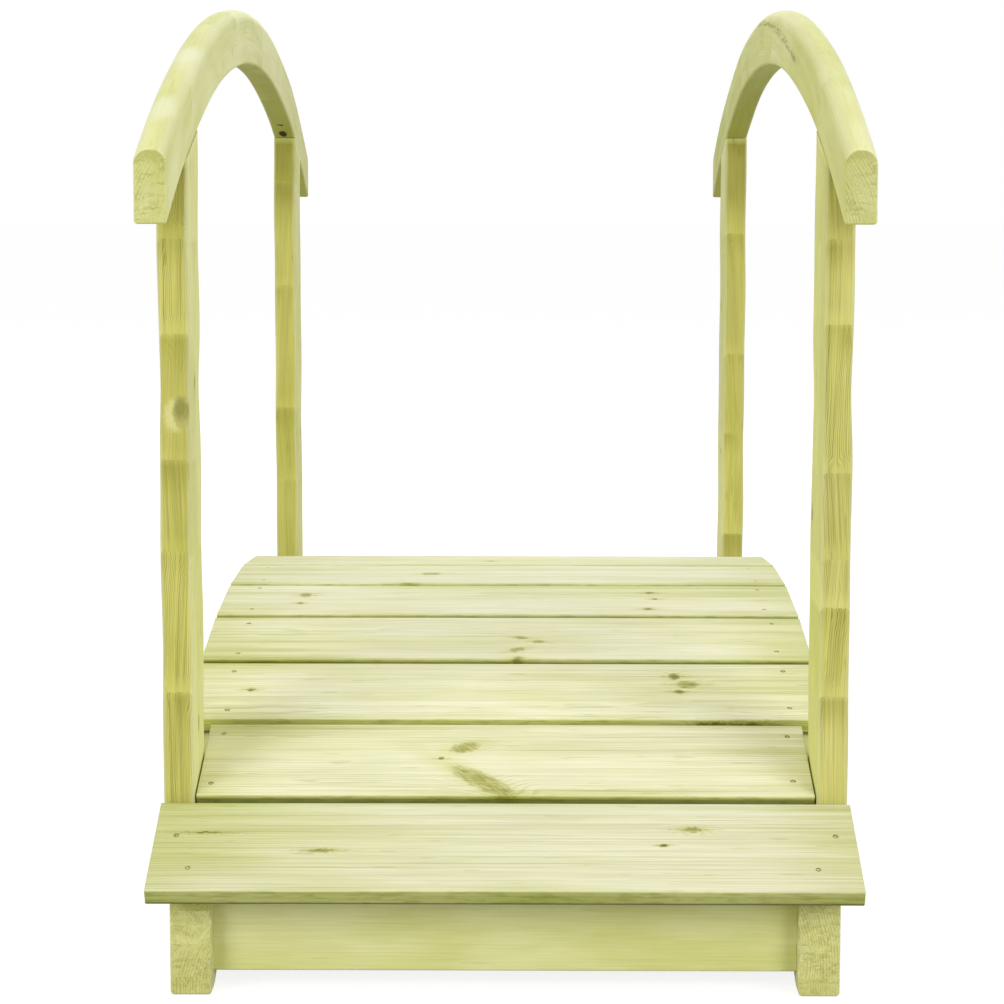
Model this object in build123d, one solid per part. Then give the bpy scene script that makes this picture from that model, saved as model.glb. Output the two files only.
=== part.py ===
from build123d import *
from math import asin, atan, cos, degrees, hypot, sin, sqrt
import os

# An arched wooden garden bridge with two handrails.
# X runs across the bridge, Y along it and Z up, with the origin on the ground under its middle.
# Left is -X and the front is -Y. All lengths are in millimetres.

# Deck of flat boards laid along an arc
board_count = 11
board_width = 145.0
board_thickness = 19.0
board_gap = 13.0
board_edge_radius = 2.5
deck_height = 315.0            # top of the middle board above the ground
deck_rise = 160.6              # middle board above the middle of the end boards
end_board_overhang = 19.5      # first and last board, past the stringers' outer faces
field_board_overhang = 14.5    # boards between the posts, past the same faces
bay_board_clearance = 1.5      # short boards to the post on either side

# Stringers, the two curved beams that carry the deck
stringer_thickness = 43.0
stringer_setback = 45.0        # upright ends, behind the deck's ends
stringer_top_edge_radius = 3.0
stringer_bottom_chamfer = 4.0
foot_length = 30.0             # level foot at each end

# Crossbars that hold the stringers apart at their ends
crossbar_thickness = 28.0
crossbar_setback = 20.0        # behind the stringers' upright ends
crossbar_ground_gap = 20.0
crossbar_deck_gap = 6.0        # below the stringers' top edge
crossbar_edge_radius = 2.0

# Posts, lapped over the stringers' outer faces
walkway_width = 671.0          # clear width between the posts
post_thickness = 33.0
post_depth = 95.0
post_edge_radius = 4.0
post_rebate = 15.0             # depth of the lap cut into the post
post_lap = 105.0               # reach of the lap below the stringer's top edge
post_board_clearance = 1.5     # post to the end board in front of it

# Handrails, curved bars that sit on the posts
overall_height = 1062.0
rail_radius = 2092.0           # arc of the handrail's top
rail_thickness = 33.0
rail_depth = 68.0
rail_top_edge_radius = 13.0
rail_bottom_chamfer = 3.0
rail_overhang = 16.0           # past the deck's ends

# Fits and cutting allowances
seat_clearance = 0.2           # between curved faces that bear on each other
cut_overrun = 10.0
round_limit_share = 0.45       # largest rounding, as a share of the piece's thickness
arc_solve_steps = 20           # rounds in which the deck's arc is worked out from its rise


def arc_half_angle(half_length, rise):
    """Half of the angle that an arc spans, from half its length along the curve and its rise."""
    angle = 2 * rise / half_length
    for _ in range(arc_solve_steps):
        half_chord = half_length * sin(angle) / angle
        angle = 2 * atan(rise / half_chord)
    return angle


# Arc of the deck, which keeps its rise, and the boards' places along it
deck_half_run = (board_width + board_gap) * (board_count - 1) / 2
end_board_angle = arc_half_angle(deck_half_run, deck_rise)
board_pitch_angle = 2 * end_board_angle / (board_count - 1)
deck_radius = deck_half_run / end_board_angle
deck_axis_height = deck_height - deck_radius
end_board_middle = deck_radius * sin(end_board_angle)
end_board_reach = board_width / 2 * cos(end_board_angle)
deck_half_length = end_board_middle + end_board_reach

# Places across the bridge, from its middle
post_inner = walkway_width / 2
post_middle = post_inner + post_thickness / 2
stringer_outer = post_inner + post_rebate
stringer_inner = stringer_outer - stringer_thickness
end_board_length = 2 * (stringer_outer + end_board_overhang)
field_board_length = 2 * (stringer_outer + field_board_overhang)
bay_board_length = 2 * (post_inner - bay_board_clearance)
cut_width = 2 * end_board_length

# Places along the bridge, from its middle
stringer_half_length = deck_half_length - stringer_setback
crossbar_outer = stringer_half_length - crossbar_setback
end_board_back = end_board_middle - end_board_reach - board_thickness * sin(end_board_angle)
post_outer = end_board_back - post_board_clearance
post_centre = post_outer - post_depth / 2
rail_half_length = deck_half_length + rail_overhang

# Radii of the bearing faces
stringer_top_radius = deck_radius - board_thickness - seat_clearance
stringer_bottom_radius = hypot(stringer_half_length - foot_length, deck_axis_height)
stringer_depth = stringer_top_radius - stringer_bottom_radius
rail_axis_height = overall_height - rail_radius
rail_bottom_arc_radius = rail_radius - rail_depth


def arc_height(axis_height, radius, along):
    """Height of an arc at a distance along the bridge from its middle."""
    return axis_height + sqrt(radius ** 2 - along ** 2)


def cross_cylinder(axis_height, radius, width):
    """Solid cylinder lying across the bridge, under its middle."""
    return Pos(0, 0, axis_height) * Rot(0, 90, 0) * Cylinder(radius, width)


def eased_section(width, depth, top_edge_radius, bottom_chamfer):
    """Bar section hung from its top edge, with rounded upper and bevelled lower corners."""
    limit = width * round_limit_share
    section = Rectangle(width, depth, align=(Align.CENTER, Align.MAX))
    section = fillet(section.vertices().group_by(Axis.Y)[-1], min(top_edge_radius, limit))
    return chamfer(section.vertices().group_by(Axis.Y)[0], min(bottom_chamfer, limit))


def curved_bar(section, across, axis_height, top_radius, bottom_radius, half_length):
    """Bar of one section bent along an arc, with upright end cuts and nothing below the ground."""
    axis = Axis((0, 0, axis_height), (1, 0, 0))
    half_angle = degrees(asin((half_length + cut_overrun) / bottom_radius))
    placed = Plane.XZ * Pos(across, axis_height + top_radius) * section
    bar = revolve(placed, axis, 2 * half_angle).rotate(axis, -half_angle)
    kept = Box(cut_width, 2 * half_length, overall_height + cut_overrun,
               align=(Align.CENTER, Align.CENTER, Align.MIN))
    return bar & kept


def deck_board(length, angle):
    """Flat board with eased long edges, laid on the deck's arc at an angle from the middle."""
    limit = board_thickness * round_limit_share
    board = Box(length, board_width, board_thickness, align=(Align.CENTER, Align.CENTER, Align.MAX))
    board = fillet(board.edges().filter_by(Axis.X), min(board_edge_radius, limit))
    return Pos(0, 0, deck_axis_height) * Rot(-degrees(angle), 0, 0) * Pos(0, 0, deck_radius) * board


def stringer(side):
    """Curved beam under the deck, cut level where it stands on the ground."""
    section = eased_section(stringer_thickness, stringer_depth,
                            stringer_top_edge_radius, stringer_bottom_chamfer)
    across = side * (stringer_inner + stringer_outer) / 2
    return curved_bar(section, across, deck_axis_height, stringer_top_radius,
                      stringer_bottom_radius, stringer_half_length)


def handrail(side):
    """Curved bar with a rounded top, level with the posts' faces."""
    section = eased_section(rail_thickness, rail_depth, rail_top_edge_radius, rail_bottom_chamfer)
    return curved_bar(section, side * post_middle, rail_axis_height, rail_radius,
                      rail_bottom_arc_radius, rail_half_length)


def post(side, end):
    """Upright scribed to the handrail's underside and lapped over the stringer's outer face."""
    limit = post_thickness * round_limit_share
    bottom = arc_height(deck_axis_height, stringer_top_radius, post_centre) - post_lap
    outline = RectangleRounded(post_thickness, post_depth, min(post_edge_radius, limit))
    blank = extrude(Pos(side * post_middle, end * post_centre, bottom) * outline, overall_height - bottom)
    under_rail = cross_cylinder(rail_axis_height, rail_bottom_arc_radius - seat_clearance, cut_width)
    lap = cross_cylinder(deck_axis_height, stringer_top_radius + seat_clearance, 2 * stringer_outer)
    return (blank & under_rail) - lap


def crossbar(end):
    """Plank on edge between the stringers' inner faces."""
    limit = crossbar_thickness * round_limit_share
    top = arc_height(deck_axis_height, stringer_top_radius, crossbar_outer) - crossbar_deck_gap
    middle = crossbar_outer - crossbar_thickness / 2
    bar = Box(2 * stringer_inner, crossbar_thickness, top - crossbar_ground_gap,
              align=(Align.CENTER, Align.CENTER, Align.MIN))
    bar = fillet(bar.edges().filter_by(Axis.X), min(crossbar_edge_radius, limit))
    return Pos(0, end * middle, crossbar_ground_gap) * bar


def board_length(number):
    """Length of a board: the outermost reach furthest and their neighbours fit between the posts."""
    from_end = min(number, board_count + 1 - number)
    lengths = {1: end_board_length, 2: bay_board_length}
    return lengths.get(from_end, field_board_length)


pieces = {}
for number in range(1, board_count + 1):
    angle = board_pitch_angle * (number - (board_count + 1) / 2)
    pieces[f"deck_board_{number}"] = deck_board(board_length(number), angle)

for side_name, side in (("left", -1), ("right", 1)):
    pieces[f"{side_name}_stringer"] = stringer(side)
    pieces[f"{side_name}_handrail"] = handrail(side)
    for end_name, end in (("front", -1), ("rear", 1)):
        pieces[f"{end_name}_{side_name}_post"] = post(side, end)

for end_name, end in (("front", -1), ("rear", 1)):
    pieces[f"{end_name}_crossbar"] = crossbar(end)

os.makedirs("parts", exist_ok=True)
for name, piece in pieces.items():
    export_step(piece, f"parts/{name}.step")
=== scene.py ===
import math
import random

import bmesh
import bpy
import numpy as np
from mathutils import Matrix, Vector


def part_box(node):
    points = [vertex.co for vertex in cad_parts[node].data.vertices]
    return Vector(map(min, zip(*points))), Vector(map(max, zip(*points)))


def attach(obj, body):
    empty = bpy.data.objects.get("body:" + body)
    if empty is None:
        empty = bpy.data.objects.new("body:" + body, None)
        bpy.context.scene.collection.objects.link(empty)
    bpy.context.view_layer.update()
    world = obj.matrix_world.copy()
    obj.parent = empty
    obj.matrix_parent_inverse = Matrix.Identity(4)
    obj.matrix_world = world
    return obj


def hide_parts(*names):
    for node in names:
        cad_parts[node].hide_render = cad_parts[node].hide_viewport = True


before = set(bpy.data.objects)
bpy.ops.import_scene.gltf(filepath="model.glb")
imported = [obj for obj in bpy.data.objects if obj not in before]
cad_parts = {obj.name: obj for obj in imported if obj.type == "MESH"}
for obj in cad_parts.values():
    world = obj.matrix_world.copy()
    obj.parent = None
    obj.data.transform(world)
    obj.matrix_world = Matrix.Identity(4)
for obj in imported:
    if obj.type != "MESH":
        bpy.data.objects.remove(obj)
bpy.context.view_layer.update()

# An arched garden bridge of pressure-impregnated pine.
# Lengths are in metres and follow the frame: X across the bridge, Y along it, Z up.
BODY = "root"

# The photograph's camera, whose sight lines place the marks that show in it
IMAGE_SIZE = 1004
SENSOR_WIDTH_MM = 36.0
PHOTO_FOCAL_PIXELS = 2573.0
PHOTO_PLACE = Vector((0.0134, -3.4471, 0.8761))
PHOTO_ANGLES = (0.040, 0.366, 0.051)
PHOTO_SHIFT = -0.345

# The scene's camera, tipped down a little more with less shift, so that other views stay in the frame.
# Angles are in degrees: pitch down, turn left and roll.
FOCAL_PIXELS = 2526.8
CAMERA_PLACE = Vector((0.0132, -3.3590, 0.8739))
CAMERA_ANGLES = (5.873, 0.368, 0.049)
CAMERA_SHIFT = -0.085

# Sizes that the boxes of the nodes don't give. Radii go round a section from its lower left corner.
BOARD_EDGE_RADIUS = 0.0025
BOARD_ARRIS = 0.0012
BOARD_CUP = 0.0004
BOARD_CUP_SHARES = (0.4, 1.0)
BOARD_BOW = 0.0006
FOOT_LENGTH = 0.030
STRINGER_RADII = (0.004, 0.004, 0.003, 0.003)
STRINGER_LAYERS = (0.0, 0.030, 0.062, 0.094, 0.130)
RAIL_DEPTH = 0.068
LEFT_RAIL_RADII = (0.004, 0.003, 0.0135, 0.0140)
RIGHT_RAIL_RADII = (0.003, 0.004, 0.0145, 0.0145)
POST_RADII = (0.005, 0.004, 0.004, 0.005)
POST_TOP_GAP = 0.0010
CROSSBAR_RADII = (0.002, 0.002, 0.002, 0.002)
CROSSBAR_ARRIS = 0.0008
END_ARRIS = 0.0014
EDGE_HOLD = 0.0008
SMALLEST_RADIUS = 0.0002
# Height and lengths of the waver of posts, which comes in over a height above their laps, and of bars
POST_WAVER = (0.0007, (0.31, 0.17))
POST_WAVER_START = 0.12
BAR_WAVER = (0.0005, (0.62, 0.37))
TORN_EDGE = 0.0020
TORN_EDGE_FADE = 0.010
# Least parts of a normal that count as facing up and inward
UPWARD = 0.9
INWARD = 0.99

# Steps of the meshes, and how many places lie on the bottom, right, top and left of a section
CORNER_STEPS = 7
END_TURNS = (90, 60, 30, 0)
BOARD_STEP = 0.014
BOARD_CROSS_STEP = 0.010
BOARD_BOTTOM_CUTS = 9
BOARD_SIDE_CUTS = 2
BAR_STEP = 0.012
BAR_CUTS = (4, 15, 4, 15)
POST_CUTS = (4, 10, 4, 10)
CROSSBAR_STEP = 0.020
# A post's foot as shares of the lap's height and insets, then the steps in the lap and above it
POST_FOOT = ((0.0, END_ARRIS + EDGE_HOLD), (0.0, END_ARRIS), (0.02, END_ARRIS * 0.3), (0.05, 0.0))
POST_LAP_SHARES = np.linspace(0.1, 1.0, 10)
POST_SHARES = np.linspace(1.0, 2.0, 70)

# First seed of each kind of piece, and steps from it to other seeds
BOARD_SEED, STRINGER_SEED, RAIL_SEED, POST_SEED, CROSSBAR_SEED = 100, 200, 300, 400, 500
TORN_SEED_STEP = 20
LEAN_SEED_STEP = 50
POST_SEED_STEP = 10

# Screws: two near each end of every board
SCREW_HEAD_RADIUS = 0.0030
SCREW_SINK = 0.0008
SCREW_SIDES = 36
SCREW_LOBES = 6
# Rings of a head: radius as a share of the head's, height and depth of the star
SCREW_RINGS = ((0.9, -0.0012, 0), (1.0, -0.0003, 0), (0.95, 0.0, 0), (0.56, 0.0, 0.12),
               (0.5, -0.0002, 0.14), (0.46, -0.0011, 0.14))
COUNTERSINK_RADIUS = 0.0040
COUNTERSINK_DEPTH = 0.0013
COUNTERSINK_FLOOR = SCREW_HEAD_RADIUS * 0.8
COUNTERSINK_REACH = COUNTERSINK_RADIUS * 1.3
COUNTERSINK_STEP = 0.001
SCREW_FROM_MIDDLE = 0.326
SCREW_ROW_SHARES = (-0.31, 0.39)
SCREW_SCATTER = 0.003
SCREW_MATCH = 0.060
SCREW_METAL = 0.3
SCREW_ROUGHNESS = (0.0, 1.0, 0.55, 0.8)

# Screws and knots seen on the front boards, at pixels of the photograph
SCREWS_SEEN = {
    1: [(185, 868), (174, 835), (821, 870), (838, 836)],
    2: [(222, 732), (209, 782), (789, 735), (795, 780)],
    3: [(233, 669), (226, 708), (791, 706)],
    4: [(248, 621), (237, 651)],
}
# Each knot: pixel, half length and half width in metres, and its slant in degrees
KNOTS_SEEN = {
    1: [((321, 851), 0.010, 0.0035, 0), ((694, 830), 0.008, 0.0045, 0), ((665, 846), 0.004, 0.002, 0),
        ((205, 833), 0.012, 0.002, 0)],
    2: [((465, 747), 0.015, 0.009, 20), ((482, 781), 0.041, 0.012, -41), ((441, 758), 0.003, 0.003, 0),
        ((489, 798), 0.003, 0.004, 0), ((516, 798), 0.009, 0.004, 0)],
    3: [((250, 688), 0.005, 0.004, 0), ((675, 675), 0.006, 0.008, 0), ((688, 683), 0.011, 0.009, 0),
        ((680, 690), 0.006, 0.005, 0)],
    4: [((521, 636), 0.009, 0.004, -15), ((539, 640), 0.007, 0.004, -10), ((517, 648), 0.010, 0.006, 30),
        ((518, 658), 0.007, 0.010, 0)],
    5: [((305, 593), 0.007, 0.009, 0), ((299, 601), 0.004, 0.005, 0), ((650, 591), 0.006, 0.005, 0),
        ((655, 597), 0.004, 0.004, 0), ((649, 607), 0.006, 0.006, 0)],
    6: [((431, 572), 0.012, 0.009, 10), ((411, 582), 0.014, 0.008, -10), ((530, 562), 0.013, 0.008, 0)],
    7: [((491, 559), 0.006, 0.006, 0)],
}
EDGE_KNOTS_SEEN = {3: [(706, 723), (721, 724), (737, 723), (757, 724)]}
EDGE_KNOT_HALVES = (0.009, 0.005, 0.006)
KNOT_DEPTH = 0.05
SMALL_KNOT = 0.0065
KNOT_TAIL_SHARE = 4.0
KNOT_TAIL_LONGEST = 0.05
KNOT_TAIL_WIDTH = 0.0016
# Knots of boards that the photograph doesn't show: how many, reach as shares of the board, half widths,
# stretch along the grain and slant
HIDDEN_KNOTS = 4
HIDDEN_KNOT_PLACES = (0.45, 0.40)
HIDDEN_KNOT_HALVES = (0.003, 0.008)
HIDDEN_KNOT_STRETCH = (1.0, 1.8)
HIDDEN_KNOT_SLANT = 0.3
POST_KNOT_SEEN = ((184, 408), 0.0175, 0.0088)
POST_KNOT_DEPTH = 0.02
# Small knots on every post: how many, reach to either side, half lengths and half widths
SMALL_POST_KNOTS = 2
SMALL_POST_KNOT_REACH = 0.03
SMALL_POST_KNOT_LENGTHS = (0.005, 0.009)
SMALL_POST_KNOT_WIDTHS = (0.004, 0.007)
# Marks on the left rail. Holes under it: distance before the rear post, half length and half width.
RAIL_HOLES = ((0.017, 0.015, 0.006), (0.062, 0.004, 0.005))
RAIL_HOLE_DEPTH = 0.010
# Upright cracks in its inner face: place along the bridge, depth below the top and half height
RAIL_CRACKS = ((-0.020, 0.015, 0.010), (0.045, 0.031, 0.006), (-0.119, 0.025, 0.007), (-0.260, 0.045, 0.008))
RAIL_CRACK_WIDTHS = (0.0016, 0.006)
# Pale dents in its top
RAIL_DENTS_SEEN = [(193, 54), (171, 96)]
RAIL_DENT_HALVES = (0.034, 0.013, 0.013)
# Torn grain on the right rail's inner face: places along the bridge and depths at both ends, half width
RAIL_TEARS = [((0.105, -0.007), (-0.122, -0.020), 0.0032), ((-0.122, -0.020), (-0.400, -0.040), 0.0056)]
# Rows of the photograph at which the front posts' blocks are joined
POST_JOINTS_SEEN = {
    "front_left_post": [237, 331, 457, 549, 692],
    "front_right_post": [239, 320, 468, 554, 605, 694],
}
# Lengths of the other glued blocks, and how far the first and last ones reach past the wood
LAST_BLOCK = 0.2
BAR_BLOCKS = (0.16, 0.34)
BAR_BLOCK_REACH = 1.02
POST_FIRST_JOINT = (0.05, 0.15)
POST_BLOCKS = (0.1, 0.2)
POST_BLOCK_ENDS = (0.05, 0.005)
# Rows of the photograph at which the front posts are narrowest, and how deep and long that waist is
WAISTS_SEEN = {"front_left_post": 386, "front_right_post": 392}
WAIST_DEPTH = 0.0018
WAIST_REACH = 0.042

# Deck, stringers and handrails, worked out from the frame
BOARD_COUNT = sum(name.startswith("deck_board_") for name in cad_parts)
CROWN_NUMBER = (BOARD_COUNT + 1) // 2


def middle(node):
    """Middle of a node's box."""
    low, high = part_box(node)
    return (low + high) / 2


def size(node):
    """Lengths of a node's box."""
    low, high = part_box(node)
    return high - low


def arc_radius(half_chord, rise):
    """Radius of an arc from half its chord and its rise."""
    return (half_chord ** 2 + rise ** 2) / (2 * rise)


crown_board = f"deck_board_{CROWN_NUMBER}"
board_width = size(crown_board).y
board_thickness = size(crown_board).z
end_board_middle = middle("deck_board_1")
deck_middle_radius = arc_radius(abs(end_board_middle.y), middle(crown_board).z - end_board_middle.z)
deck_axis = middle(crown_board).z - deck_middle_radius
deck_top_radius = deck_middle_radius + board_thickness / 2

stringer_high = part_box("right_stringer")[1]
stringer_top_radius = stringer_high.z - deck_axis
stringer_bottom_radius = math.hypot(stringer_high.y - FOOT_LENGTH, deck_axis)

rail_low, rail_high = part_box("right_handrail")
rail_bottom_radius = arc_radius(rail_high.y, rail_high.z - RAIL_DEPTH - rail_low.z)
rail_top_radius = rail_bottom_radius + RAIL_DEPTH
rail_axis = rail_high.z - rail_top_radius


def arc_height(axis, radius, along):
    """Height of an arc at a place along the bridge."""
    return axis + np.sqrt(radius ** 2 - np.asarray(along) ** 2)


def along_rail(along, radius=rail_top_radius):
    """Place along the handrails' top arc, of a place along the bridge on an arc of some radius."""
    return math.asin(along / radius) * rail_top_radius


def put(name, data):
    """New object in the scene."""
    item = bpy.data.objects.new(name, data)
    bpy.context.scene.collection.objects.link(item)
    return item


# Camera
def turned(pitch, turn, roll):
    """Rotation of a camera that looks along the bridge."""
    level = Matrix.Rotation(math.radians(turn), 4, "Z") @ Matrix.Rotation(math.radians(90 - pitch), 4, "X")
    return level @ Matrix.Rotation(math.radians(roll), 4, "Z")


camera = put("camera", bpy.data.cameras.new("camera"))
bpy.context.scene.camera = camera
camera.data.sensor_width = SENSOR_WIDTH_MM
camera.data.lens = FOCAL_PIXELS * SENSOR_WIDTH_MM / IMAGE_SIZE
camera.data.shift_y = CAMERA_SHIFT
camera.matrix_world = Matrix.Translation(CAMERA_PLACE) @ turned(*CAMERA_ANGLES)


def on_plane(pixel, place):
    """Where the photograph's sight line through a pixel meets the plane z = 0 of a placed frame."""
    centre = IMAGE_SIZE / 2
    sight = Vector(((pixel[0] - centre) / PHOTO_FOCAL_PIXELS,
                    (centre + PHOTO_SHIFT * IMAGE_SIZE - pixel[1]) / PHOTO_FOCAL_PIXELS, -1))
    inverse = place.inverted()
    start = inverse @ PHOTO_PLACE
    step = inverse.to_3x3() @ (turned(*PHOTO_ANGLES).to_3x3() @ sight)
    return start - step * (start.z / step.z)


# Mesh helpers
def spread(low, high, step, centres=(), reach=0.0, fine=0.0):
    """Places a step apart between two ends, and closer together round some centres."""
    places = list(np.linspace(low, high, max(2, round((high - low) / step) + 1)))
    for centre in centres:
        places = [place for place in places if abs(place - centre) > reach]
        places += list(np.arange(centre - reach, centre + reach + fine / 2, fine))
    places = sorted(place for place in places if low + fine < place < high - fine)
    return np.array([low] + places + [high])


def eased_ends(places, radius):
    """Stations along a bar, rounded over at both ends: place, inset and whether it is on a sawn end."""
    turns = [math.radians(degree) for degree in END_TURNS]
    end = [(0.0, radius + EDGE_HOLD)]
    end += [(radius * (1 - math.sin(turn)), radius * (1 - math.cos(turn))) for turn in turns]
    inside = [(place, 0.0, False) for place in places if places[0] + radius < place < places[-1] - radius]
    start = [(places[0] + along, inset, along == 0) for along, inset in end]
    finish = [(places[-1] - along, inset, along == 0) for along, inset in reversed(end)]
    return start + inside + finish


def outline(low, high, radii, cuts, inset=0.0):
    """Closed section with rounded corners as rows of u, v and their normals, anticlockwise from lower left.

    The cuts are the places, or how many there are, on the bottom, right, top and left side."""
    u_low, v_low = low[0] + inset, low[1] + inset
    u_high, v_high = high[0] - inset, high[1] - inset
    r = [max(radius - inset, SMALLEST_RADIUS) for radius in radii]
    centres = [(u_low + r[0], v_low + r[0]), (u_high - r[1], v_low + r[1]),
               (u_high - r[2], v_high - r[2]), (u_low + r[3], v_high - r[3])]
    sides = [(0, v_low, (0, -1)), (1, u_high, (1, 0)), (0, v_high, (0, 1)), (1, u_low, (-1, 0))]
    rows = []
    for corner in range(4):
        for turn in np.linspace(0, math.pi / 2, CORNER_STEPS):
            angle = math.pi + corner * math.pi / 2 + turn
            normal = (math.cos(angle), math.sin(angle))
            rows.append((centres[corner][0] + r[corner] * normal[0],
                         centres[corner][1] + r[corner] * normal[1], *normal))
        axis, level, normal = sides[corner]
        first, last = centres[corner][axis], centres[(corner + 1) % 4][axis]
        places = cuts[corner]
        if isinstance(places, int):
            hold = math.copysign(EDGE_HOLD, last - first)
            places = np.linspace(first + hold, last - hold, places)
        elif last < first:
            places = places[::-1]
        for place in places:
            rows.append((place, level, *normal) if axis == 0 else (level, place, *normal))
    return np.array(rows)


def finish_of(section, narrow, end):
    """Share of narrow face, sawn end and arris at each row of a section."""
    normals = section[:, 2:]
    arris = (2 * normals[:, 0] * normals[:, 1]) ** 2
    face = normals[:, narrow] ** 2 if narrow is not None else np.zeros(len(normals))
    return np.column_stack((face, np.full(len(normals), end), arris))


def bands(first, rings, count):
    """Faces between rings of points that follow each other from a first point on."""
    faces = []
    for near in range(first, first + (rings - 1) * count, count):
        far = near + count
        for index in range(count):
            after = (index + 1) % count
            faces.append((near + index, near + after, far + after, far + index))
    return faces


def skin(name, rings, grain, finish):
    """Closed mesh over rings of points, with its grain places and finish kept as attributes."""
    stations, count = rings.shape[:2]
    # The first and last ring bound the sawn ends, which have no narrow face and no arris
    finish[[0, -1]] *= (0.0, 1.0, 0.0)
    flat = [array.reshape(-1, 3) for array in (rings, grain, finish)]
    caps = [[array[0].mean(0), array[-1].mean(0)] for array in (rings, grain, finish)]
    points, grain, finish = [np.vstack((rows, cap)) for rows, cap in zip(flat, caps)]
    faces = bands(0, stations, count)
    last = (stations - 1) * count
    for index in range(count):
        after = (index + 1) % count
        faces.append((stations * count, after, index))
        faces.append((stations * count + 1, last + index, last + after))
    mesh = bpy.data.meshes.new(name)
    mesh.from_pydata(points.tolist(), [], faces)
    for title, rows in (("grain", grain), ("finish", finish)):
        attribute = mesh.attributes.new(title, "FLOAT_VECTOR", "POINT")
        attribute.data.foreach_set("vector", rows.astype(np.float32).ravel())
    shell = bmesh.new()
    shell.from_mesh(mesh)
    bmesh.ops.recalc_face_normals(shell, faces=shell.faces)
    for face in shell.faces:
        face.smooth = len(face.verts) == 4
    shell.to_mesh(mesh)
    shell.free()
    return mesh


def place_piece(name, mesh, material, nodes=()):
    """Puts a mesh in the scene as a piece of the bridge, in the place of its CAD nodes."""
    mesh.materials.append(material)
    piece = put(name, mesh)
    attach(piece, BODY)
    for node in nodes:
        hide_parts(node)


def place_timber(node, rings, grain, finishes, material):
    """Puts a piece of wood in the scene, in the place of its CAD node."""
    mesh = skin(node, rings, grain, np.array(finishes))
    place_piece(f"{node}_timber", mesh, material, [node])


def waver(seed, height, lengths):
    """Gentle sideways wander of a sawn edge, as a function of the place along it."""
    draw = random.Random(seed)
    phases = [draw.uniform(0, 2 * math.pi) for _ in lengths]

    def wander(along):
        waves = [np.sin(2 * math.pi * along / length + phase) for length, phase in zip(lengths, phases)]
        return height * sum(waves) / len(waves)
    return wander


# Colours, written as they show in plain light, and tints that colours are multiplied by
def shade(red, green, blue):
    """Linear colour from its usual 0 to 255 values."""
    def linear(value):
        value = value / 255
        return value / 12.92 if value <= 0.04045 else ((value + 0.055) / 1.055) ** 2.4
    return (linear(red), linear(green), linear(blue), 1.0)


WHITE = (1.0, 1.0, 1.0, 1.0)
# Dark hearts of small knots, also used as painted shade inside cracks
KNOT_DARK_AND_CRACK_SHADE = shade(96, 88, 32)
KNOT_CORE = (0.72, 0.72, 0.46, 1.0)
KNOT_STRAND = (0.58, 0.57, 0.40, 1.0)
KNOT_HALO = (0.87, 0.88, 0.58, 1.0)
ROUND_KNOT = shade(178, 174, 94)
ROUND_KNOT_CORE = shade(142, 139, 68)
ROUND_KNOT_CURL = shade(222, 218, 146)
ROUND_KNOT_HALO = (0.86, 0.85, 0.80, 1.0)
# Painted shade inside holes
HOLE_SHADE = shade(46, 34, 14)
GREEN_STAIN = (0.88, 0.90, 0.70, 1.0)
CLOUD_TINT = (0.88, 0.88, 0.66, 1.0)
END_STAIN = (0.86, 0.875, 0.67, 1.0)
END_TINT = (0.93, 0.93, 0.77, 1.0)
END_DARK = (0.70, 0.69, 0.48, 1.0)
# Painted shade on the tops of sawn ends
END_TOP_SHADE_TINT = (0.86, 0.86, 0.76, 1.0)
JOINT_TINT = (0.80, 0.79, 0.62, 1.0)
# Painted shade on the posts close under the rails
CROWN_SHADE_TINT = (0.68, 0.67, 0.52, 1.0)
SIDE_STAIN = (0.86, 0.875, 0.66, 1.0)
TEAR_TINT = (0.38, 0.38, 0.12, 1.0)
# Painted shade of the gaps between boards
GAP_SHADE_TINT = (0.38, 0.40, 0.27, 1.0)
# Painted shadow along the boards' lower arrises
UNDER_EDGE_SHADOW_TINT = (0.22, 0.23, 0.15, 1.0)
SPECK_TINT = (0.80, 0.80, 0.66, 1.0)
# Paler arrises: partly wear, partly a painted highlight
ARRIS_WEAR_AND_HIGHLIGHT_TINT = shade(243, 242, 212)
DENT_TINT = shade(246, 245, 216)
SCREW_PALE = shade(178, 172, 116)
SCREW_DARK = shade(126, 119, 68)

# Each look: pale and dark wood, ring spacing, the pith's place sideways and down, slow and quick wander of
# the rings, the strength of rings and of their weakest parts, fine streaks, bands, clouds, fibres and short
# dark ticks, the share of lines on wide faces, the contrast of glued blocks and of their joints, and the
# tints of narrow faces and sawn ends
DECK_LOOK = {"pale": shade(246, 244, 209), "late": shade(168, 167, 87), "spacing": 0.0027, "pith": (1.0, 0.8),
             "wander": 1.6, "jitter": 0.0004, "rings": 0.42, "weakest": 0.05, "streaks": 0.36, "bands": 0.20,
             "cloud": 0.22, "fibre": 0.07, "ticks": 0.25, "plain": 1.0, "blocks": 0.0, "joint": 0.0,
             "edge": (0.75, 0.785, 0.42, 1.0), "end": WHITE}
BEAM_LOOK = {**DECK_LOOK, "pale": shade(236, 235, 174), "late": shade(174, 172, 86), "spacing": 0.0030,
             "wander": 1.5, "rings": 0.30, "streaks": 0.22, "bands": 0.15, "cloud": 0.40, "ticks": 0.2,
             "blocks": 0.30, "edge": (0.88, 0.88, 0.70, 1.0)}
CROSSBAR_LOOK = {**BEAM_LOOK, "pale": shade(233, 233, 170), "late": shade(188, 189, 106), "spacing": 0.0060,
                 "rings": 0.06, "streaks": 0.04, "bands": 0.05, "cloud": 0.75, "fibre": 0.05, "ticks": 0.15,
                 "edge": WHITE}
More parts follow.
